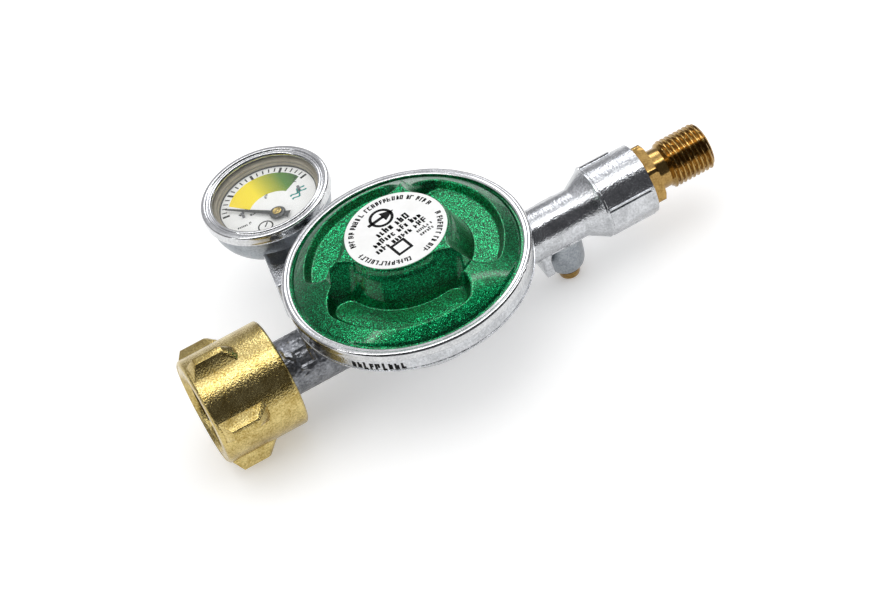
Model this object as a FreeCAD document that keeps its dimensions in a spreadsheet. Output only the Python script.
import FreeCAD, Part
import math
import os
import re
import Sketcher

# Low-pressure gas regulator with a contents gauge.
# The origin is the middle of the inlet nut's mouth, on the axis that the inlet and outlet share.
# +X runs downstream to the outlet thread, +Z up through the bonnet and +Y towards the gauge.
# All sizes are in millimetres and degrees.

DOCUMENT = FreeCAD.newDocument("gas_regulator")
SHEET = DOCUMENT.addObject("Spreadsheet::Sheet", "sizes")

SIZES = {
    # where the main axes are
    "axis_to_mouth": 63.6,  # from the nut's mouth to the upright axis of the diaphragm chamber
    "rim_height": 12.3,  # top of the body's rim above the tube axis
    # clearances
    "running_gap": 0.08,  # radial, turning fits
    "seat_gap": 0.3,  # between faces that move past each other
    "press_gap": 0.02,  # radial, threads and pressed joints
    "soft_gap": 0.05,  # round rubber and paper
    # body casting
    "band_radius": 32.3,
    "band_height": 4.6,
    "rim_radius": 31.5,
    "rim_step": 0.6,
    "chamber_radius": 27.5,
    "chamber_floor": 5.5,
    "floor_radius": 13.5,
    "casting_wall": 3.0,
    "inlet_stub_radius": 7.6,
    "outlet_tube_radius": 6.85,
    "outlet_flare_start": 47.4,
    "barrel_start": 52.4,
    "barrel_end": 66.7,
    "barrel_radius": 9.8,
    "outlet_bore_radius": 3.4,
    "nozzle_boss_radius": 5.2,
    "nozzle_boss_end": 16.0,
    "inlet_passage_radius": 1.6,
    "test_port_reach": 41.2,
    "test_boss_radius": 5.25,
    "test_boss_drop": 15.4,
    "collar_start": 33.2,
    "collar_width": 2.6,
    "collar_drop": 10.5,
    "collar_half_width": 6.0,
    # bonnet
    "bonnet_top": 25.0,
    "label_radius": 13.4,
    "label_thickness": 0.15,
    "crown_radius": 13.7,
    "spoke_radius": 19.3,
    "spoke_foot": 20.8,
    "dome_radius": 30.4,
    "flange_thickness": 0.8,
    "flange_radius": 31.3,
    "pocket_count": 3,
    "pocket_angle": 103.0,
    "pocket_floor": 14.9,
    "pocket_inner": 18.1,
    "pocket_outer": 24.7,
    "pocket_lip": 26.6,
    "bonnet_wall": 1.1,
    "bell_radius": 13.0,
    "bell_height": 19.6,
    "adjuster_radius": 10.4,
    "adjuster_thickness": 3.9,
    # clamp ring
    "ring_radius": 33.0,
    "ring_lip_radius": 30.6,
    "ring_thickness": 0.7,
    # diaphragm group, at rest with no gas pressure
    "diaphragm_thickness": 0.6,
    "diaphragm_drop": 2.2,
    "fold_margin": 2.9,  # from the chamber's wall to the fold
    "fold_inner": 15.2,
    "fold_inner_flank": 0.2128,  # shares of the fold's width
    "fold_outer_flank": 0.3191,
    "fold_depth": 1.0,
    "plate_radius": 13.5,
    "plate_thickness": 0.6,
    "plate_rim": 1.2,
    "washer_radius": 9.0,
    "stem_radius": 2.0,
    "stem_foot_radius": 3.2,
    "stem_foot_low": 4.7,
    "slot_middle": 2.0,
    "slot_height": 3.6,
    "slot_width": 3.8,
    "stem_nut_flats": 7.0,
    "stem_nut_height": 2.4,
    "diaphragm_travel": 2.2,
    # main spring
    "spring_radius": 8.5,
    "spring_wire": 1.2,
    "spring_turns": 4.0,
    # valve
    "orifice_thread_radius": 2.8,
    "orifice_thread_length": 3.4,
    "orifice_flange_radius": 3.2,
    "orifice_flange_width": 1.4,
    "nozzle_length": 1.8,
    "nozzle_base_radius": 2.3,
    "nozzle_tip_radius": 1.5,
    "orifice_bore_radius": 0.9,
    "pad_radius": 2.5,
    "pad_thickness": 1.5,
    "pivot_drop": 3.4,
    "pivot_offset": 2.2,
    "lever_pin_radius": 0.8,
    "lever_pin_length": 6.2,
    "lever_width": 3.2,
    "lever_thickness": 0.8,
    "knee_reach": 3.0,
    "bracket_gap": 4.0,
    "bracket_plate": 1.0,
    "bracket_length": 6.0,
    "bracket_foot": 3.4,
    "bracket_screw_radius": 1.5,
    # inlet
    "nut_length": 23.3,
    "nut_radius": 14.7,
    "nut_bore_radius": 10.05,
    "nut_thread_length": 9.2,
    "nut_relief_radius": 10.9,
    "nut_back_wall": 4.8,
    "nut_rim_round": 1.4,
    "lug_count": 5,
    "lug_radius": 18.1,
    "lug_start": 0.6,
    "lug_length": 15.2,
    "lug_front_slope": 2.6,
    "lug_back_slope": 4.6,
    "lug_foot": 0.4,
    "lug_width": 5.2,
    "lug_first_angle": 20.0,
    "stem_neck_radius": 6.0,
    "stem_flange_radius": 9.6,
    "stem_flange_width": 3.0,
    "stem_nose_radius": 7.6,
    "stem_nose_length": 4.1,
    "stem_bore_radius": 3.0,
    "stem_thread_radius": 5.0,
    "stem_thread_length": 10.0,
    "inlet_seal_thickness": 1.7,
    "inlet_seal_hole": 3.4,
    "filter_length": 3.0,
    # outlet nipple
    "hex_flats": 16.0,
    "hex_width": 3.2,
    "nipple_neck_radius": 5.5,
    "nipple_neck_length": 3.9,
    "outlet_thread_radius": 6.58,
    "outlet_thread_length": 12.5,
    "nipple_root_radius": 6.4,
    "nipple_root_length": 9.5,
    "nipple_bore_radius": 3.0,
    "nipple_chamfer": 0.8,
    "outlet_seal_radius": 7.7,
    "outlet_seal_width": 1.3,
    # test port
    "test_plug_radius": 2.4,
    "test_plug_length": 5.2,
    "test_head_radius": 2.9,
    "test_head_height": 2.6,
    "test_seal_radius": 3.3,
    "test_seal_thickness": 0.5,
    # gauge
    "gauge_x": -19.0,
    "gauge_gap": 1.855,  # between the bezel and the clamp ring
    "gauge_z": 13.5,
    "gauge_lean": 3.1,
    "gauge_lean_azimuth": 111.6,
    "bezel_radius": 17.7,
    "bezel_inner": 14.8,
    "bezel_height": 3.0,
    "bezel_lip": 1.0,
    "bezel_skirt": 0.75,
    "lens_radius": 15.9,
    "lens_thickness": 1.0,
    "gasket_thickness": 0.6,
    "gauge_bore_radius": 14.0,
    "dial_depth": 3.8,
    "dial_thickness": 0.4,
    "movement_radius": 12.9,
    "cup_floor": 12.2,
    "cup_bottom": 13.8,
    "cup_foot_radius": 12.4,
    "cup_shoulder": 8.0,
    "arm_half_width": 9.0,
    "arm_low": -7.0,
    "arm_high": 5.6,
    "arm_start": 20.0,
    "arm_reach": 36.0,
    "duct_radius": 1.0,
    # pointer and movement
    "pointer_pivot": 7.1,
    "pointer_angle": 133.0,
    "pointer_length": 16.0,
    "pointer_tail": 3.4,
    "pointer_half_width": 0.75,
    "pointer_tip_half_width": 0.22,
    "pointer_thickness": 0.3,
    "pointer_height": 0.75,
    "hub_radius": 2.3,
    "hub_thickness": 0.7,
    "cap_radius": 1.3,
    "cap_thickness": 0.25,
    "arbor_radius": 0.6,
    "stop_pin_radius": 0.42,
    "stop_pin_reach": 10.0,
    "stop_low_angle": 142.0,
    "stop_high_angle": 31.0,
    "stop_pin_height": 1.3,
    "gear_module": 0.4,
    "pinion_teeth": 10,
    "sector_full_teeth": 40,
    "sector_teeth": 6,
    "sector_first_tooth": -130.5,
    "tooth_share": 0.4,
    "tail_length": 3.8,
    "tail_angle": 78.0,
    "plate_gap_top": 4.9,
    "movement_plate": 0.6,
    "plate_gap": 2.4,
    "plate_half_width": 3.3,
    "plate_low": -11.4,
    "plate_high": 5.3,
    "pillar_radius": 0.7,
    "pillar_x": 2.5,
    "pillar_low": -10.5,
    "pillar_high": 4.4,
    "tube_radius": 10.4,
    "tube_width": 1.2,
    "tube_height": 2.4,
    "tube_wall": 0.3,
    "tube_start": -66.0,
    "tube_sweep": 203.0,
    "tube_top": 9.0,
    "block_half_width": 4.5,
    "block_low": -12.0,
    "block_high": -8.4,
    "link_width": 1.6,
    "link_thickness": 0.5,
    "link_top": 6.85,
    "link_pin_radius": 0.35,
    "link_slack": 1.8,
}

for row, (alias, value) in enumerate(SIZES.items(), start=1):
    SHEET.set(f"A{row}", alias)
    SHEET.set(f"B{row}", str(value))
    SHEET.setAlias(f"B{row}", alias)
DOCUMENT.recompute()

ORIGIN = FreeCAD.Vector(0, 0, 0)
UP = FreeCAD.Vector(0, 0, 1)
UPRIGHT = FreeCAD.Placement(ORIGIN, FreeCAD.Rotation(FreeCAD.Vector(1, 0, 0), 90))
FACING_X = FreeCAD.Placement(ORIGIN, FreeCAD.Rotation(UP, 90)).multiply(UPRIGHT)
FLAT = FreeCAD.Placement()
WORD = re.compile(r"[a-z_]+[a-z]")
SUBPARTS = []


def size(alias):
    """The value of one driving size."""
    return float(SHEET.get(alias))


def bound(text):
    """An expression on the sheet, from a formula that names sizes in plain words."""
    return WORD.sub(lambda m: "sizes." + m.group() if m.group() in SIZES else m.group(), text)


def at(x, y=0.0, z=0.0, turn=0.0, axis=UP):
    """A place, turned about an axis by some degrees."""
    return FreeCAD.Placement(FreeCAD.Vector(x, y, z), FreeCAD.Rotation(axis, turn))


# The upright axis of the diaphragm chamber, and the gauge: the middle of its bezel's top,
# with local +Z out of the dial and local +Y towards the dial's top.
CHAMBER = at(size("axis_to_mouth"))
LEAN = math.radians(size("gauge_lean_azimuth"))
GAUGE_DISTANCE = size("ring_radius") + size("gauge_gap") + size("bezel_radius")
GAUGE_ON_BODY = at(
    size("gauge_x"),
    math.sqrt(GAUGE_DISTANCE ** 2 - size("gauge_x") ** 2),
    size("gauge_z"),
    size("gauge_lean"),
    FreeCAD.Vector(-math.sin(LEAN), math.cos(LEAN), 0),
)
GAUGE = CHAMBER.multiply(GAUGE_ON_BODY)


def new_body(label, place=FLAT):
    """A sub-part made of sketches and features, which is written to a file of its own."""
    body = DOCUMENT.addObject("PartDesign::Body", label)
    body.Label = label
    body.Placement = place
    SUBPARTS.append(body)
    return body


def attach(feature, body, offset):
    """Fixes a sketch or a primitive to its own body's horizontal plane, with an offset."""
    plane = next(o for o in body.Origin.OriginFeatures if o.Role == "XY_Plane")
    feature.AttachmentSupport = [(plane, "")]
    feature.MapMode = "FlatFace"
    feature.AttachmentOffset = offset


def pin_point(sketch, edge, point, name):
    """Ties the start of one edge to the sketch's origin by two formulas."""
    for kind, letter, formula in zip(("DistanceX", "DistanceY"), "xy", point):
        index = sketch.addConstraint(Sketcher.Constraint(kind, -1, 1, edge, 1, 1.0 + edge))
        sketch.renameConstraint(index, name + letter)
        sketch.setExpression("Constraints." + name + letter, bound(formula))


def outline(body, name, points, offset=UPRIGHT):
    """A closed outline of straight edges, each corner given by two formulas."""
    sketch = body.newObject("Sketcher::SketchObject", name)
    attach(sketch, body, offset)
    count = len(points)
    guess = [
        FreeCAD.Vector(math.cos(math.tau * i / count), math.sin(math.tau * i / count), 0)
        for i in range(count)
    ]
    for i in range(count):
        sketch.addGeometry(Part.LineSegment(guess[i], guess[(i + 1) % count]), False)
    for i in range(count):
        sketch.addConstraint(Sketcher.Constraint("Coincident", i, 2, (i + 1) % count, 1))
    for i, point in enumerate(points):
        pin_point(sketch, i, point, f"corner{i}")
    return sketch


def circles(body, name, rings, offset=FLAT):
    """Circles in one sketch, each given by formulas for its middle and its radius."""
    sketch = body.newObject("Sketcher::SketchObject", name)
    attach(sketch, body, offset)
    for i, (x, y, radius) in enumerate(rings):
        middle = FreeCAD.Vector(i + 1, i + 1, 0)
        sketch.addGeometry(Part.Circle(middle, UP, 1.0), False)
        for kind, letter, formula in (("DistanceX", "x", x), ("DistanceY", "y", y)):
            index = sketch.addConstraint(Sketcher.Constraint(kind, -1, 1, i, 3, 1.0 + i))
            sketch.renameConstraint(index, f"middle{i}{letter}")
            sketch.setExpression(f"Constraints.middle{i}{letter}", bound(formula))
        index = sketch.addConstraint(Sketcher.Constraint("Radius", i, 1.0))
        sketch.renameConstraint(index, f"radius{i}")
        sketch.setExpression(f"Constraints.radius{i}", bound(radius))
    return sketch


def spun(body, sketch, axis, name, kind="Revolution", angle="360", both_ways=False):
    """Turns a sketch about one of its own axes, adding or cutting."""
    feature = body.newObject("PartDesign::" + kind, name)
    feature.Profile = sketch
    feature.ReferenceAxis = (sketch, [axis])
    feature.Midplane = both_ways
    feature.setExpression("Angle", bound(angle))
    return feature


def raised(body, sketch, length, name, kind="Pad", back=False, both_ways=False):
    """Extends a sketch along its normal, adding or cutting."""
    feature = body.newObject("PartDesign::" + kind, name)
    feature.Profile = sketch
    feature.setExpression("Length", bound(length))
    feature.Reversed = back
    feature.Midplane = both_ways
    return feature


def repeated(body, feature, axis, count, name):
    """Repeats a feature evenly round one of its body's axes."""
    line = next(o for o in body.Origin.OriginFeatures if o.Role == axis)
    pattern = body.newObject("PartDesign::PolarPattern", name)
    pattern.Originals = [feature]
    pattern.Axis = (line, [""])
    pattern.Angle = 360
    pattern.setExpression("Occurrences", bound(count))
    body.Tip = pattern
    return pattern


def turned(label, points, place=FLAT, axis="H_Axis"):
    """A sub-part turned on a lathe. Points are along the axis and out from it for H_Axis,
    and out from it and along it for V_Axis."""
    body = new_body(label, place)
    spun(body, outline(body, label + "_outline", points), axis, label + "_turned")
    return body


def washer(label, inner, outer, low, high, place=FLAT, axis="V_Axis"):
    """A plain ring: inner and outer radius, and its two levels along its axis."""
    if axis == "H_Axis":
        points = [(low, inner), (high, inner), (high, outer), (low, outer)]
    else:
        points = [(inner, low), (outer, low), (outer, high), (inner, high)]
    return turned(label, points, place, axis)


def disc(label, outer, low, high, place=FLAT, axis="V_Axis"):
    """A plain round disc or pin."""
    return washer(label, "0", outer, low, high, place, axis)


# ---- levels and stations shared by several sub-parts, as formulas on the sheet ----

BAND_TOP = "rim_height - rim_step"
BAND_LOW = f"{BAND_TOP} - band_height"
FLANGE_LOW = "rim_height + diaphragm_thickness + 2 * soft_gap"
FLANGE_TOP = f"{FLANGE_LOW} + flange_thickness"
DISC_LOW = "rim_height + soft_gap - diaphragm_drop"
DISC_TOP = f"{DISC_LOW} + diaphragm_thickness"
PLATE_TOP = f"{DISC_TOP} + soft_gap + plate_thickness"
ADJUSTER_LOW = "bonnet_top - soft_gap - adjuster_thickness"
STUB_END = "nut_length + seat_gap - axis_to_mouth"
NUT_SHELF = "nut_length - nut_back_wall"
FLANGE_BACK = f"{NUT_SHELF} - seat_gap"
NOSE_FRONT = f"{FLANGE_BACK} - stem_flange_width - stem_nose_length"
BORE_END = f"{STUB_END} + stem_thread_length + seat_gap"
HEX_START = "axis_to_mouth + barrel_end"
NIPPLE_END = f"{HEX_START} + hex_width + nipple_neck_length + outlet_thread_length"
FOLD_OUTER = "chamber_radius - fold_margin"
FOLD_WIDTH = f"({FOLD_OUTER} - fold_inner)"
INNER_FLANK = f"fold_inner_flank * {FOLD_WIDTH}"
OUTER_FLANK = f"fold_outer_flank * {FOLD_WIDTH}"
SEAL_POCKET = "barrel_end - outlet_seal_width - 2 * soft_gap"
DIAL_LOW = "-dial_depth - dial_thickness"
DIAL_SHELF = f"{DIAL_LOW} - soft_gap"
LENS_TOP = "-bezel_lip - soft_gap"
LENS_LOW = f"{LENS_TOP} - lens_thickness"
GASKET_LOW = f"{LENS_LOW} - soft_gap - gasket_thickness"
LENS_SHELF = f"{GASKET_LOW} - soft_gap"


# ---- body casting: chamber, inlet stub, outlet tube and barrel, test boss, gauge cup ----

def make_casting():
    body = new_body("body_casting", CHAMBER)
    bowl = outline(body, "bowl", [
        ("0", "-chamber_floor - casting_wall"),
        ("floor_radius + casting_wall / 3", "-chamber_floor - casting_wall"),
        ("band_radius - 4", f"{BAND_LOW} - 1"),
        ("band_radius", BAND_LOW),
        ("band_radius", BAND_TOP),
        ("rim_radius", BAND_TOP),
        ("rim_radius", "rim_height"),
        ("0", "rim_height"),
    ])
    spun(body, bowl, "V_Axis", "bowl_turned")
    stub = outline(body, "stub", [
        (STUB_END, "0"),
        ("-floor_radius", "0"),
        ("-floor_radius", "inlet_stub_radius"),
        (STUB_END, "inlet_stub_radius"),
    ])
    spun(body, stub, "H_Axis", "stub_turned")
    outlet = outline(body, "outlet", [
        ("floor_radius", "0"),
        ("barrel_end", "0"),
        ("barrel_end", "barrel_radius"),
        ("barrel_start", "barrel_radius"),
        ("outlet_flare_start", "outlet_tube_radius"),
        ("floor_radius", "outlet_tube_radius"),
    ])
    spun(body, outlet, "H_Axis", "outlet_turned")
    collar = outline(body, "collar", [
        ("collar_start", "-collar_drop"),
        ("collar_start + collar_width", "-collar_drop"),
        ("collar_start + collar_width", "0"),
        ("collar_start", "0"),
    ])
    raised(body, collar, "2 * collar_half_width", "collar_web", both_ways=True)
    boss = circles(body, "test_boss", [("test_port_reach", "0", "test_boss_radius")])
    raised(body, boss, "test_boss_drop", "test_boss_pad", back=True)

    gauge_side = GAUGE_ON_BODY.multiply(UPRIGHT)
    arm = outline(body, "arm", [
        ("gauge_x - arm_half_width", "arm_start"),
        ("gauge_x + arm_half_width", "arm_start"),
        ("gauge_x + arm_half_width", "arm_reach"),
        ("gauge_x - arm_half_width", "arm_reach"),
    ], at(0, 0, size("arm_low")))
    raised(body, arm, "arm_high - arm_low", "arm_pad")
    cup = outline(body, "cup", [
        ("0", "-cup_bottom"),
        ("cup_foot_radius", "-cup_bottom"),
        ("bezel_radius - bezel_skirt - running_gap", "-cup_shoulder"),
        ("bezel_radius - bezel_skirt - running_gap", LENS_TOP),
        ("0", LENS_TOP),
    ], gauge_side)
    spun(body, cup, "V_Axis", "cup_turned")

    chamber = outline(body, "chamber", [
        ("0", "-chamber_floor"),
        ("floor_radius", "-chamber_floor"),
        ("chamber_radius", f"{BAND_LOW}"),
        ("chamber_radius", "rim_height + 1"),
        ("0", "rim_height + 1"),
    ])
    spun(body, chamber, "V_Axis", "chamber_cut", kind="Groove")
    boss = outline(body, "nozzle_boss", [
        ("-chamber_radius + casting_wall", "0"),
        ("-nozzle_boss_end", "0"),
        ("-nozzle_boss_end", "nozzle_boss_radius"),
        ("-chamber_radius + casting_wall", "nozzle_boss_radius"),
    ])
    spun(body, boss, "H_Axis", "nozzle_boss_turned")
    inlet = outline(body, "inlet_bore", [
        (f"{STUB_END} - 1", "0"),
        (f"{STUB_END} - 1", "stem_thread_radius + press_gap"),
        (BORE_END, "stem_thread_radius + press_gap"),
        (BORE_END, "inlet_passage_radius"),
        ("-nozzle_boss_end - orifice_thread_length - seat_gap", "inlet_passage_radius"),
        ("-nozzle_boss_end - orifice_thread_length - seat_gap",
         "orifice_thread_radius + press_gap"),
        ("-nozzle_boss_end", "orifice_thread_radius + press_gap"),
        ("-nozzle_boss_end", "orifice_flange_radius + press_gap"),
        ("-nozzle_boss_end + orifice_flange_width + nozzle_length",
         "orifice_flange_radius + press_gap"),
        ("-nozzle_boss_end + orifice_flange_width + nozzle_length", "0"),
    ])
    spun(body, inlet, "H_Axis", "inlet_cut", kind="Groove")
    way_out = outline(body, "outlet_bore", [
        ("floor_radius", "0"),
        ("floor_radius", "outlet_bore_radius"),
        ("barrel_end - nipple_root_length - seat_gap", "outlet_bore_radius"),
        ("barrel_end - nipple_root_length - seat_gap", "nipple_root_radius + press_gap"),
        (SEAL_POCKET, "nipple_root_radius + press_gap"),
        (SEAL_POCKET, "outlet_seal_radius + soft_gap"),
        ("barrel_end + 1", "outlet_seal_radius + soft_gap"),
        ("barrel_end + 1", "0"),
    ])
    spun(body, way_out, "H_Axis", "outlet_cut", kind="Groove")
    test = circles(body, "test_hole", [("test_port_reach", "0", "test_plug_radius + press_gap")])
    raised(body, test, "test_boss_drop + 1", "test_cut", kind="Pocket")
    inside = outline(body, "cup_inside", [
        ("0", "-cup_floor"),
        ("movement_radius", "-cup_floor"),
        ("movement_radius", DIAL_SHELF),
        ("gauge_bore_radius", DIAL_SHELF),
        ("gauge_bore_radius", LENS_SHELF),
        ("lens_radius + soft_gap", LENS_SHELF),
        ("lens_radius + soft_gap", "1"),
        ("0", "1"),
    ], gauge_side)
    spun(body, inside, "V_Axis", "cup_cut", kind="Groove")

    # The duct that brings cylinder pressure from the inlet to the gauge's block.
    block = GAUGE_ON_BODY.multVec(FreeCAD.Vector(
        0, (size("block_low") + size("block_high")) / 2, -size("cup_floor") + 1))
    start = FreeCAD.Vector(-size("nozzle_boss_end") - size("nozzle_boss_radius") - 2, 0, 0)
    duct = body.newObject("PartDesign::SubtractiveCylinder", "gauge_duct")
    attach(duct, body, FreeCAD.Placement(start, FreeCAD.Rotation(UP, block - start)))
    duct.setExpression("Radius", bound("duct_radius"))
    duct.Height = (block - start).Length
    return body


# ---- bonnet group ----

def make_bonnet():
    body = new_body("bonnet_cover", CHAMBER)
    shell = outline(body, "shell", [
        ("adjuster_radius + press_gap", "bonnet_top"),
        ("spoke_radius", "bonnet_top"),
        ("spoke_radius", "spoke_foot"),
        ("dome_radius - 0.6", f"{FLANGE_TOP} + 0.8"),
        ("dome_radius - 0.1", FLANGE_TOP),
        ("flange_radius", FLANGE_TOP),
        ("flange_radius", FLANGE_LOW),
        ("chamber_radius + 1", FLANGE_LOW),
        ("chamber_radius", "pocket_floor - bonnet_wall"),
        ("pocket_inner - bonnet_wall", "pocket_floor - bonnet_wall"),
        ("bell_radius", "bell_height"),
        ("adjuster_radius + press_gap", "bell_height"),
    ])
    spun(body, shell, "V_Axis", "shell_turned")
    pocket = outline(body, "pocket", [
        ("crown_radius", "bonnet_top + 0.2"),
        ("pocket_inner", "pocket_floor"),
        ("pocket_outer", "pocket_floor"),
        ("pocket_lip", "pocket_floor + 1.9"),
        ("pocket_lip", "bonnet_top + 0.2"),
    ])
    cut = spun(body, pocket, "V_Axis", "pocket_cut", "Groove", "pocket_angle", both_ways=True)
    repeated(body, cut, "Z_Axis", "pocket_count", "pockets")


def make_bonnet_group():
    make_bonnet()
    washer("spring_adjuster", "3", "adjuster_radius", ADJUSTER_LOW, "bonnet_top - soft_gap", CHAMBER)
    disc("label_disc", "label_radius", "bonnet_top", "bonnet_top + label_thickness", CHAMBER)
    turned("clamp_ring", [
        ("ring_lip_radius", f"{FLANGE_TOP} + soft_gap"),
        ("ring_lip_radius", f"{FLANGE_TOP} + soft_gap + ring_thickness"),
        ("ring_radius - 0.3", f"{FLANGE_TOP} + soft_gap + ring_thickness"),
        ("ring_radius", f"{FLANGE_TOP} + ring_thickness - 0.3"),
        ("ring_radius", f"{BAND_TOP} + soft_gap + 0.3"),
        ("ring_radius - 0.3", f"{BAND_TOP} + soft_gap"),
        ("rim_radius + soft_gap", f"{BAND_TOP} + soft_gap"),
        ("rim_radius + soft_gap", f"{FLANGE_TOP} + soft_gap"),
    ], CHAMBER, "V_Axis")


# ---- diaphragm group ----

def make_spring():
    """A closed round-wire coil between the diaphragm plate and the adjuster."""
    wire = size("spring_wire")
    low = (size("rim_height") + size("soft_gap") - size("diaphragm_drop")
           + size("diaphragm_thickness") + size("soft_gap") + size("plate_thickness"))
    high = size("bonnet_top") - size("soft_gap") - size("adjuster_thickness")
    rise = high - low - wire - 2 * size("soft_gap")
    helix = Part.makeHelix(rise / size("spring_turns"), rise, size("spring_radius"))
    section = Part.Wire(Part.makeCircle(
        wire / 2, FreeCAD.Vector(size("spring_radius"), 0, 0), FreeCAD.Vector(0, 1, 0)))
    coil = DOCUMENT.addObject("Part::Feature", "main_spring")
    coil.Label = "main_spring"
    coil.Shape = Part.Wire(helix.Edges).makePipeShell([section], True, True)
    coil.Placement = at(size("axis_to_mouth"), 0, low + size("soft_gap") + wire / 2)
    SUBPARTS.append(coil)


def make_diaphragm_group():
    stem_hole = "stem_radius + press_gap"
    fold = f"{DISC_LOW} - fold_depth"
    turned("diaphragm", [
        ("stem_radius + soft_gap", DISC_LOW),
        ("fold_inner", DISC_LOW),
        (f"fold_inner + {INNER_FLANK}", fold),
        (f"{FOLD_OUTER} - {OUTER_FLANK}", fold),
        (FOLD_OUTER, "rim_height + soft_gap"),
        ("rim_radius - 0.2", "rim_height + soft_gap"),
        ("rim_radius - 0.2", "rim_height + soft_gap + diaphragm_thickness"),
        (f"{FOLD_OUTER} - 0.4", "rim_height + soft_gap + diaphragm_thickness"),
        (f"{FOLD_OUTER} - {OUTER_FLANK} - 0.4", f"{fold} + diaphragm_thickness"),
        (f"fold_inner + {INNER_FLANK} + 0.4", f"{fold} + diaphragm_thickness"),
        ("fold_inner + 0.4", DISC_TOP),
        ("stem_radius + soft_gap", DISC_TOP),
    ], CHAMBER, "V_Axis")
    turned("diaphragm_plate", [
        (stem_hole, f"{DISC_TOP} + soft_gap"),
        ("plate_radius", f"{DISC_TOP} + soft_gap"),
        ("plate_radius", f"{PLATE_TOP} + plate_rim"),
        ("plate_radius - plate_thickness", f"{PLATE_TOP} + plate_rim"),
        ("plate_radius - plate_thickness", PLATE_TOP),
        (stem_hole, PLATE_TOP),
    ], CHAMBER, "V_Axis")
    washer("diaphragm_washer", stem_hole, "washer_radius", f"{DISC_LOW} - soft_gap - plate_thickness",
           f"{DISC_LOW} - soft_gap", CHAMBER)
    stem_shoulder = f"{DISC_LOW} - soft_gap - plate_thickness"
    stem = turned("diaphragm_stem", [
        ("0", "-stem_foot_low"),
        ("stem_foot_radius", "-stem_foot_low"),
        ("stem_foot_radius", stem_shoulder),
        ("stem_radius", stem_shoulder),
        ("stem_radius", f"{PLATE_TOP} + stem_nut_height + 0.4"),
        ("0", f"{PLATE_TOP} + stem_nut_height + 0.4"),
    ], CHAMBER, "V_Axis")
    slot = outline(stem, "lever_slot", [
        ("-slot_width / 2", "-slot_middle - slot_height / 2"),
        ("slot_width / 2", "-slot_middle - slot_height / 2"),
        ("slot_width / 2", "-slot_middle + slot_height / 2"),
        ("-slot_width / 2", "-slot_middle + slot_height / 2"),
    ], FACING_X)
    raised(stem, slot, "2 * stem_foot_radius + 2", "lever_slot_cut", kind="Pocket", both_ways=True)
    hexagon("stem_nut", "stem_nut_flats", PLATE_TOP, "stem_nut_height", stem_hole, CHAMBER)
    make_spring()


def hex_points(flats):
    """The six corners of a hexagon with the given width across flats."""
    return [
        (f"({flats}) / 2 / cos(30 deg) * {math.cos(math.radians(a)):.6f}",
         f"({flats}) / 2 / cos(30 deg) * {math.sin(math.radians(a)):.6f}")
        for a in range(0, 360, 60)
    ]


def hexagon(label, flats, low, height, hole, place):
    """A plain hexagon nut standing on a level, with a round hole."""
    body = new_body(label, place)
    sketch = outline(body, label + "_outline", hex_points(flats), FLAT)
    pad = raised(body, sketch, height, label + "_pad")
    sketch.setExpression("AttachmentOffset.Base.z", bound(low))
    bore = circles(body, label + "_bore", [("0", "0", hole)])
    bore.setExpression("AttachmentOffset.Base.z", bound(low))
    raised(body, bore, height, label + "_cut", kind="Pocket", back=True)
    return pad


# ---- inlet valve: nozzle, pad, lever and its bracket ----

# The lever is drawn with the valve shut, about its own pin, and rests turned open.
LEVER_REACH = size("nozzle_boss_end") - size("orifice_flange_width") - size("nozzle_length")
LEVER_REACH -= size("pad_thickness") + size("pivot_offset")
OPEN_ANGLE = math.degrees(size("diaphragm_travel") / LEVER_REACH)
LEVER_PIVOT = FreeCAD.Vector(size("axis_to_mouth") - LEVER_REACH, 0, -size("pivot_drop"))
LEVER_PLACE = FreeCAD.Placement(
    LEVER_PIVOT, FreeCAD.Rotation(FreeCAD.Vector(0, 1, 0), OPEN_ANGLE))
PIN_ACROSS = FreeCAD.Placement(LEVER_PIVOT, FreeCAD.Rotation(UP, 90))


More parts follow.
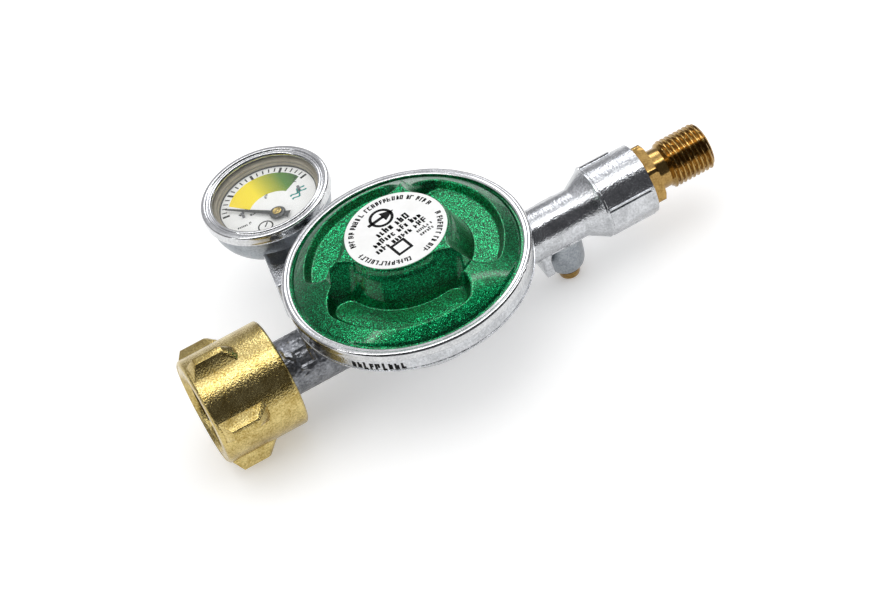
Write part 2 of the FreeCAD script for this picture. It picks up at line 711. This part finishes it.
def make_valve():
    boss_end = "-nozzle_boss_end"
    flange_end = f"{boss_end} + orifice_flange_width"
    turned("inlet_orifice", [
        (f"{boss_end} - orifice_thread_length", "orifice_bore_radius"),
        (f"{boss_end} - orifice_thread_length", "orifice_thread_radius"),
        (boss_end, "orifice_thread_radius"),
        (boss_end, "orifice_flange_radius"),
        (flange_end, "orifice_flange_radius"),
        (flange_end, "nozzle_base_radius"),
        (f"{flange_end} + nozzle_length", "nozzle_tip_radius"),
        (f"{flange_end} + nozzle_length", "orifice_bore_radius"),
    ], CHAMBER)
    pad_place = LEVER_PLACE.multiply(at(0, 0, size("pivot_drop")))
    pad_face = "-pivot_offset - pad_thickness + soft_gap"
    disc("valve_pad", "pad_radius", pad_face, "-pivot_offset", pad_place, "H_Axis")

    lever = new_body("valve_lever", LEVER_PLACE)
    tip = size("slot_middle") - size("pivot_drop")
    rise = math.degrees(math.asin(-tip / LEVER_REACH)) + OPEN_ANGLE
    tip_x = LEVER_REACH * math.cos(math.radians(rise)) + 1.6
    tip_z = LEVER_REACH * math.sin(math.radians(rise)) + 0.3
    slope = tip_z / tip_x
    arm = outline(lever, "arm_outline", [
        ("-pivot_offset", "-lever_pin_radius"),
        ("-lever_pin_radius", "-lever_pin_radius - 0.5"),
        ("lever_pin_radius - 0.2", "-lever_pin_radius - 0.5"),
        ("knee_reach", f"knee_reach * {slope:.6f} - 0.7 * lever_thickness"),
        (f"{tip_x:.4f}", f"{tip_z:.4f} - lever_thickness / 2"),
        (f"{tip_x:.4f}", f"{tip_z:.4f} + lever_thickness / 2"),
        ("knee_reach", f"knee_reach * {slope:.6f} + 0.7 * lever_thickness"),
        ("lever_pin_radius + 0.6", "lever_pin_radius + 1.2"),
        ("-pivot_offset + lever_thickness + 0.4", "lever_pin_radius + 1.2"),
        ("-pivot_offset + lever_thickness", "pivot_drop + pad_radius"),
        ("-pivot_offset", "pivot_drop + pad_radius"),
    ])
    raised(lever, arm, "lever_width", "arm_pad", both_ways=True)
    hole = circles(lever, "pin_hole", [("0", "0", "lever_pin_radius + running_gap")], UPRIGHT)
    raised(lever, hole, "lever_width + 1", "pin_hole_cut", kind="Pocket", both_ways=True)
    disc("lever_pin", "lever_pin_radius", "-lever_pin_length / 2", "lever_pin_length / 2",
         PIN_ACROSS, "H_Axis")

    floor = "pivot_drop - chamber_floor"
    bracket = new_body("lever_bracket", FreeCAD.Placement(LEVER_PIVOT, FreeCAD.Rotation()))
    half = "bracket_gap / 2"
    foot = f"{half} + bracket_plate + bracket_foot"
    channel = outline(bracket, "channel", [
        (f"-({foot})", floor),
        (foot, floor),
        (foot, f"{floor} + bracket_plate"),
        (f"{half} + bracket_plate", f"{floor} + bracket_plate"),
        (f"{half} + bracket_plate", "lever_pin_radius + 1.2"),
        (half, "lever_pin_radius + 1.2"),
        (half, f"{floor} + bracket_plate / 2"),
        (f"-({half})", f"{floor} + bracket_plate / 2"),
        (f"-({half})", "lever_pin_radius + 1.2"),
        (f"-({half} + bracket_plate)", "lever_pin_radius + 1.2"),
        (f"-({half} + bracket_plate)", f"{floor} + bracket_plate"),
        (f"-({foot})", f"{floor} + bracket_plate"),
    ], FACING_X)
    raised(bracket, channel, "bracket_length", "channel_pad", both_ways=True)
    hole = circles(bracket, "bracket_pin_hole", [("0", "0", "lever_pin_radius + press_gap")], UPRIGHT)
    raised(bracket, hole, f"2 * ({foot}) + 1", "bracket_pin_cut", kind="Pocket", both_ways=True)

    screws = new_body("bracket_screws", FreeCAD.Placement(LEVER_PIVOT, FreeCAD.Rotation()))
    reach = f"{half} + bracket_plate + bracket_foot / 2"
    heads = circles(screws, "heads", [
        ("0", reach, "bracket_screw_radius"),
        ("0", f"-({reach})", "bracket_screw_radius"),
    ])
    heads.setExpression("AttachmentOffset.Base.z", bound(f"{floor} + bracket_plate"))
    raised(screws, heads, "0.9", "heads_pad")


# ---- inlet: hand nut, stem, seal and filter ----

def make_nut():
    nut = new_body("inlet_hand_nut")
    shell = outline(nut, "nut_outline", [
        ("0", "nut_bore_radius"),
        ("0", "nut_radius - 0.8"),
        ("0.8", "nut_radius"),
        ("nut_length - nut_rim_round", "nut_radius"),
        ("nut_length - nut_rim_round / 3", "nut_radius - nut_rim_round / 3"),
        ("nut_length", "nut_radius - nut_rim_round"),
        ("nut_length", "stem_neck_radius + running_gap"),
        (NUT_SHELF, "stem_neck_radius + running_gap"),
        (NUT_SHELF, "nut_relief_radius"),
        ("nut_thread_length", "nut_relief_radius"),
        ("nut_thread_length", "nut_bore_radius"),
    ])
    spun(nut, shell, "H_Axis", "nut_turned")
    turned_up = at(0, 0, 0, size("lug_first_angle"), FreeCAD.Vector(1, 0, 0))
    lug = outline(nut, "lug", [
        ("lug_start", "nut_radius - 1.5"),
        ("lug_start + lug_length", "nut_radius - 1.5"),
        ("lug_start + lug_length", "nut_radius + lug_foot"),
        ("lug_start + lug_length - lug_back_slope", "lug_radius"),
        ("lug_start + lug_front_slope", "lug_radius"),
        ("lug_start", "nut_radius + lug_foot"),
    ], turned_up)
    pad = raised(nut, lug, "lug_width", "lug_pad", both_ways=True)
    repeated(nut, pad, "X_Axis", "lug_count", "lugs")


def make_inlet():
    make_nut()
    flange_front = f"{FLANGE_BACK} - stem_flange_width"
    thread_end = "nut_length + seat_gap + stem_thread_length"
    turned("inlet_stem", [
        (NOSE_FRONT, "stem_bore_radius"),
        (NOSE_FRONT, "stem_nose_radius"),
        (flange_front, "stem_nose_radius"),
        (flange_front, "stem_flange_radius"),
        (FLANGE_BACK, "stem_flange_radius"),
        (FLANGE_BACK, "stem_neck_radius"),
        ("nut_length + seat_gap", "stem_neck_radius"),
        ("nut_length + seat_gap", "stem_thread_radius"),
        (thread_end, "stem_thread_radius"),
        (thread_end, "stem_bore_radius"),
    ])
    washer("inlet_seal", "inlet_seal_hole", "stem_nose_radius - soft_gap",
           f"{NOSE_FRONT} - inlet_seal_thickness", NOSE_FRONT, axis="H_Axis")
    disc("inlet_filter", "stem_bore_radius - soft_gap", f"{NOSE_FRONT} + 1",
         f"{NOSE_FRONT} + 1 + filter_length", axis="H_Axis")


# ---- outlet nipple and test port ----

def make_outlet():
    body = new_body("outlet_nipple")
    neck_end = f"{HEX_START} + hex_width + nipple_neck_length"
    turned_part = outline(body, "nipple_outline", [
        (f"{HEX_START} - nipple_root_length", "nipple_bore_radius"),
        (f"{HEX_START} - nipple_root_length", "nipple_root_radius"),
        (HEX_START, "nipple_root_radius"),
        (f"{HEX_START} + hex_width", "nipple_root_radius"),
        (f"{HEX_START} + hex_width", "nipple_neck_radius"),
        (neck_end, "nipple_neck_radius"),
        (f"{neck_end} + nipple_chamfer", "outlet_thread_radius"),
        (f"{NIPPLE_END} - nipple_chamfer", "outlet_thread_radius"),
        (NIPPLE_END, "outlet_thread_radius - nipple_chamfer"),
        (NIPPLE_END, "nipple_bore_radius"),
    ])
    spun(body, turned_part, "H_Axis", "nipple_turned")
    hexagon_sketch = outline(body, "hex", hex_points("hex_flats"), FACING_X)
    hexagon_sketch.setExpression("AttachmentOffset.Base.x", bound(HEX_START))
    raised(body, hexagon_sketch, "hex_width", "hex_pad")
    bore = circles(body, "hex_bore", [("0", "0", "nipple_bore_radius")], FACING_X)
    bore.setExpression("AttachmentOffset.Base.x", bound(HEX_START))
    raised(body, bore, "hex_width", "hex_cut", kind="Pocket", back=True)
    washer("outlet_seal", "nipple_root_radius + soft_gap", "outlet_seal_radius",
           f"{HEX_START} - outlet_seal_width - soft_gap", f"{HEX_START} - soft_gap", axis="H_Axis")

    port = at(size("axis_to_mouth") + size("test_port_reach"))
    drop = "-test_boss_drop"
    head = f"{drop} - test_seal_thickness - soft_gap"
    turned("test_port_screw", [
        ("0", f"{drop} + test_plug_length"),
        ("0", f"{head} - test_head_height"),
        ("test_head_radius - 0.5", f"{head} - test_head_height"),
        ("test_head_radius", f"{head} - test_head_height + 0.5"),
        ("test_head_radius", head),
        ("test_plug_radius", head),
        ("test_plug_radius", f"{drop} + test_plug_length"),
    ], port, "V_Axis")
    washer("test_port_seal", "test_plug_radius + soft_gap", "test_seal_radius",
           f"{drop} - test_seal_thickness - soft_gap / 2", f"{drop} - soft_gap / 2", port)


# ---- gauge face: bezel, lens, gasket, dial, stops and pointer ----

PIVOT = GAUGE.multiply(at(0, -size("pointer_pivot")))
POINTER_PLACE = PIVOT.multiply(at(0, 0, 0, size("pointer_angle")))


def make_gauge_face():
    turned("gauge_bezel", [
        ("bezel_inner", "-bezel_lip"),
        ("bezel_inner", "-bezel_lip / 2"),
        ("bezel_inner + 0.8", "0"),
        ("bezel_radius - 0.6", "0"),
        ("bezel_radius", "-0.6"),
        ("bezel_radius", "-bezel_height"),
        ("bezel_radius - bezel_skirt", "-bezel_height"),
        ("bezel_radius - bezel_skirt", "-bezel_lip"),
    ], GAUGE, "V_Axis")
    disc("gauge_lens", "lens_radius", LENS_LOW, LENS_TOP, GAUGE)
    washer("lens_gasket", "gauge_bore_radius", "lens_radius", GASKET_LOW, f"{LENS_LOW} - soft_gap", GAUGE)

    dial = new_body("gauge_dial", GAUGE)
    holes = [("0", "-pointer_pivot", "cap_radius")]
    stops = []
    for angle in ("stop_low_angle", "stop_high_angle"):
        x = f"stop_pin_reach * cos({angle} * 1 deg)"
        y = f"stop_pin_reach * sin({angle} * 1 deg) - pointer_pivot"
        stops.append((x, y))
        holes.append((x, y, "stop_pin_radius + press_gap"))
    face = circles(dial, "dial_face", [("0", "0", "gauge_bore_radius - 0.1"), *holes])
    face.setExpression("AttachmentOffset.Base.z", bound("-dial_depth"))
    raised(dial, face, "dial_thickness", "dial_pad", back=True)

    pins = new_body("stop_pins", GAUGE)
    shanks = circles(pins, "shanks", [(x, y, "stop_pin_radius") for x, y in stops])
    shanks.setExpression("AttachmentOffset.Base.z", bound("-dial_depth + stop_pin_height"))
    raised(pins, shanks, "stop_pin_height + dial_thickness", "shank_pad", back=True)
    heads = circles(pins, "pin_heads", [(x, y, "stop_pin_radius + 0.4") for x, y in stops])
    heads.setExpression("AttachmentOffset.Base.z", bound(DIAL_LOW))
    raised(pins, heads, "0.3", "head_pad", back=True)

    pointer = new_body("pointer", POINTER_PLACE)
    level = "-dial_depth + pointer_height"
    blade = outline(pointer, "blade", [
        ("-pointer_tail", "-pointer_half_width * 1.6"),
        ("0", "-pointer_half_width"),
        ("pointer_length", "-pointer_tip_half_width"),
        ("pointer_length", "pointer_tip_half_width"),
        ("0", "pointer_half_width"),
        ("-pointer_tail", "pointer_half_width * 1.6"),
    ], FLAT)
    blade.setExpression("AttachmentOffset.Base.z", bound(level))
    raised(pointer, blade, "pointer_thickness", "blade_pad")
    hub = circles(pointer, "hub", [("0", "0", "hub_radius")])
    hub.setExpression("AttachmentOffset.Base.z", bound(f"{level} - 0.15"))
    raised(pointer, hub, "hub_thickness", "hub_pad")
    hole = circles(pointer, "hub_hole", [("0", "0", "arbor_radius + press_gap")])
    hole.setExpression("AttachmentOffset.Base.z", bound(f"{level} - 1"))
    raised(pointer, hole, "hub_thickness + 2", "hub_cut", kind="Pocket", back=True)
    hub_top = f"{level} - 0.15 + hub_thickness"
    disc("pointer_cap", "cap_radius", hub_top, f"{hub_top} + cap_thickness", POINTER_PLACE)


# ---- gauge movement ----

def gear_outline(teeth_at, pitch_radius):
    """Corner points of straight-sided teeth, in order round the gear."""
    module = size("gear_module")
    root, tip = pitch_radius - 1.25 * module, pitch_radius + 0.85 * module
    half = size("tooth_share") * math.pi * module / 2
    slope = math.tan(math.radians(20))
    points = []
    for angle in teeth_at:
        for side, radius in ((-1, root), (-1, tip), (1, tip), (1, root)):
            wide = half + (pitch_radius - radius) * slope
            turn = math.radians(angle) + side * math.asin(wide / radius)
            points.append(FreeCAD.Vector(radius * math.cos(turn), radius * math.sin(turn), 0))
    return points


def solid_of(points, low, height):
    """A flat piece with a straight-edged outline, between two levels."""
    wire = Part.makePolygon([*points, points[0]])
    return Part.Face(wire).extrude(FreeCAD.Vector(0, 0, height)).translated(FreeCAD.Vector(0, 0, low))


def add_shape(label, shape, place):
    """A sub-part whose shape is made by formula."""
    part = DOCUMENT.addObject("Part::Feature", label)
    part.Label = label
    part.Shape = shape.removeSplitter()
    part.Placement = place
    SUBPARTS.append(part)


def cylinder(radius, low, high, x=0.0, y=0.0):
    return Part.makeCylinder(radius, high - low, FreeCAD.Vector(x, y, low))


PLATE_TOP_LEVEL = -size("plate_gap_top")
PLATE_LOW_LEVEL = PLATE_TOP_LEVEL - size("movement_plate")
BACK_TOP_LEVEL = PLATE_LOW_LEVEL - size("plate_gap")
BACK_LOW_LEVEL = BACK_TOP_LEVEL - size("movement_plate")
PINION_PITCH = size("gear_module") * size("pinion_teeth") / 2
SECTOR_PITCH = size("gear_module") * size("sector_full_teeth") / 2
SECTOR_Y = PINION_PITCH + SECTOR_PITCH - size("pointer_pivot")
SECTOR_PLACE = GAUGE.multiply(at(0, SECTOR_Y))
LINK_PIN = FreeCAD.Vector(
    size("tail_length") * math.cos(math.radians(size("tail_angle"))),
    SECTOR_Y + size("tail_length") * math.sin(math.radians(size("tail_angle"))), 0)
TUBE_END = math.radians(size("tube_start") + size("tube_sweep"))
TUBE_TIP = FreeCAD.Vector(
    size("tube_radius") * math.cos(TUBE_END), size("tube_radius") * math.sin(TUBE_END), 0)


def make_pinion():
    step = 360 / size("pinion_teeth")
    count = int(size("pinion_teeth"))
    first = 90 - size("pointer_angle")
    points = gear_outline([first + step * i for i in range(count)], PINION_PITCH)
    low = BACK_TOP_LEVEL + 1.0
    gear = solid_of(points, low, 1.2)
    top = -size("dial_depth") + size("pointer_height") - 0.15 + size("hub_thickness")
    shaft = cylinder(size("arbor_radius"), BACK_LOW_LEVEL + 0.1, top)
    add_shape("pinion_arbor", gear.fuse(shaft), POINTER_PLACE)


def make_sector():
    step = 360 / size("sector_full_teeth")
    first = size("sector_first_tooth")
    teeth = [first + step * i for i in range(int(size("sector_teeth")))]
    points = gear_outline(teeth, SECTOR_PITCH)
    inner = [FreeCAD.Vector(1.0, -0.6, 0), FreeCAD.Vector(-1.2, -0.2, 0)]
    low = BACK_TOP_LEVEL + 1.3
    blade = solid_of([*points, *inner], low, 0.6)
    hub = cylinder(1.3, low, low + 0.6)
    tail = size("tail_length")
    arm = Part.makeBox(tail, 1.4, 0.6, FreeCAD.Vector(0, -0.7, low))
    eye = cylinder(0.9, low, low + 0.6, tail)
    arm = arm.fuse(eye)
    arm.rotate(ORIGIN, UP, size("tail_angle"))
    gear = blade.fuse([hub, arm])
    arbor_hole = cylinder(0.5, low - 1, low + 2)
    pin_hole = cylinder(size("link_pin_radius"), low - 1, low + 2, tail)
    pin_hole.rotate(ORIGIN, UP, size("tail_angle"))
    add_shape("sector_gear", gear.cut(arbor_hole).cut(pin_hole), SECTOR_PLACE)
    add_shape("sector_arbor", cylinder(0.5, BACK_LOW_LEVEL + 0.1, PLATE_TOP_LEVEL - 0.1), SECTOR_PLACE)
    pin = cylinder(size("link_pin_radius"), -size("link_top") - 1.0, low + 0.6, LINK_PIN.x, LINK_PIN.y)
    add_shape("link_pin", pin, GAUGE)


def make_link():
    along = TUBE_TIP - LINK_PIN
    length = along.Length
    low = -size("link_top") - size("link_thickness")
    half = size("link_width") / 2
    bar = Part.makeBox(length, 2 * half, size("link_thickness"), FreeCAD.Vector(0, -half, low))
    bar = bar.fuse(cylinder(half, low, low + size("link_thickness")))
    bar = bar.fuse(cylinder(half, low, low + size("link_thickness"), length))
    bar = bar.cut(cylinder(size("link_pin_radius") + size("running_gap"), low - 1, low + 2))
    hole = size("link_pin_radius") + size("running_gap")
    slack = size("link_slack")
    slot = Part.makeBox(slack, 2 * hole, 3, FreeCAD.Vector(length - slack, -hole, low - 1))
    for end in (length - slack, length):
        slot = slot.fuse(cylinder(hole, low - 1, low + 2, end))
    turn = math.degrees(math.atan2(along.y, along.x))
    place = GAUGE.multiply(at(LINK_PIN.x, LINK_PIN.y, 0, turn))
    add_shape("gauge_link", bar.cut(slot), place)


def make_movement_plates():
    wide, low, high = size("plate_half_width"), size("plate_low"), size("plate_high")
    thick = size("movement_plate")
    holes = [(0, -size("pointer_pivot"), size("arbor_radius") + size("running_gap")),
             (0, SECTOR_Y, 0.5 + size("running_gap"))]
    for label, level in (("movement_front_plate", PLATE_LOW_LEVEL), ("movement_back_plate", BACK_LOW_LEVEL)):
        plate = Part.makeBox(2 * wide, high - low, thick, FreeCAD.Vector(-wide, low, level))
        for x, y, radius in holes:
            plate = plate.cut(cylinder(radius, level - 1, level + 2, x, y))
        add_shape(label, plate, GAUGE)
    corners = [(x * size("pillar_x"), y) for x in (-1, 1) for y in (size("pillar_low"), size("pillar_high"))]
    pillars = [cylinder(size("pillar_radius"), BACK_TOP_LEVEL, PLATE_LOW_LEVEL, x, y) for x, y in corners]
    add_shape("movement_pillars", Part.makeCompound(pillars), GAUGE)
    heads = [cylinder(0.8, PLATE_TOP_LEVEL, PLATE_TOP_LEVEL + 0.4, x, y) for x, y in corners]
    add_shape("movement_screws", Part.makeCompound(heads), GAUGE)


def make_hairspring():
    """A flat spiral of half rings, each wider than the last, round the pinion's arbor."""
    low, thin, step = BACK_TOP_LEVEL + 0.2, 0.14, 0.2
    radius = size("arbor_radius") + size("seat_gap") + thin
    spiral = None
    for turn in range(8):
        ring = cylinder(radius, low, low + 0.35).cut(cylinder(radius - thin, low - 1, low + 1))
        side = 1 if turn % 2 else -1
        half = Part.makeBox(10, 10, 3, FreeCAD.Vector(-5, 0 if side > 0 else -10, low - 1))
        ring = ring.common(half).translated(FreeCAD.Vector(side * step / 2, 0, 0))
        spiral = ring if spiral is None else spiral.fuse(ring)
        radius += step
    add_shape("hairspring", spiral, PIVOT)


def make_tube():
    top = -size("tube_top")
    low = top - size("tube_height")
    mean, half, wall = size("tube_radius"), size("tube_width") / 2, size("tube_wall")
    begin = math.radians(size("tube_start"))

    def swept(inner, outer, bottom, upper):
        corners = [(inner, bottom), (outer, bottom), (outer, upper), (inner, upper)]
        points = [FreeCAD.Vector(r * math.cos(begin), r * math.sin(begin), z) for r, z in corners]
        face = Part.Face(Part.makePolygon([*points, points[0]]))
        return face.revolve(ORIGIN, UP, size("tube_sweep"))

    envelope = swept(mean - half, mean + half, low, top)
    tube = envelope.cut(swept(mean - half + wall, mean + half - wall, low + wall, top - wall))
    add_shape("bourdon_tube", tube, GAUGE)
    tip = Part.makeBox(1.4, 2 * half + 0.4, size("tube_height") + 0.4, FreeCAD.Vector(0, -half - 0.2, low - 0.2))
    tip.rotate(ORIGIN, UP, math.degrees(TUBE_END) + 90)
    tip = tip.translated(TUBE_TIP)
    tip = tip.fuse(cylinder(size("link_pin_radius"), top, -size("link_top") + 0.1, TUBE_TIP.x, TUBE_TIP.y))
    add_shape("bourdon_tip", tip.cut(envelope), GAUGE)
    wide, near, far = size("block_half_width"), size("block_low"), size("block_high")
    block = Part.makeBox(2 * wide, far - near, size("cup_floor") + BACK_LOW_LEVEL,
                         FreeCAD.Vector(-wide, near, -size("cup_floor")))
    hole = cylinder(size("duct_radius"), -size("cup_floor") - 1, -size("tube_top") - 1.2, 0, (near + far) / 2)
    add_shape("bourdon_block", block.cut(hole).cut(envelope), GAUGE)


make_casting()
make_bonnet_group()
make_diaphragm_group()
make_valve()
make_inlet()
make_outlet()
make_gauge_face()
make_pinion()
make_sector()
make_link()
make_movement_plates()
make_hairspring()
make_tube()
DOCUMENT.recompute()

FAULTS = [o.Name for o in DOCUMENT.Objects if "Invalid" in o.State or "Error" in o.State]
for part in SUBPARTS:
    if part.Shape.isNull() or not part.Shape.isValid() or not part.Shape.Solids:
        FAULTS.append(part.Label)
if FAULTS:
    raise RuntimeError("these did not build: " + ", ".join(FAULTS))

os.makedirs("parts", exist_ok=True)
for part in SUBPARTS:
    part.Shape.exportStep(os.path.join("parts", part.Label + ".step"))
print(len(SUBPARTS), "sub-parts written")
print("lever reach", round(LEVER_REACH, 4), "opens", round(OPEN_ANGLE, 4), "degrees")
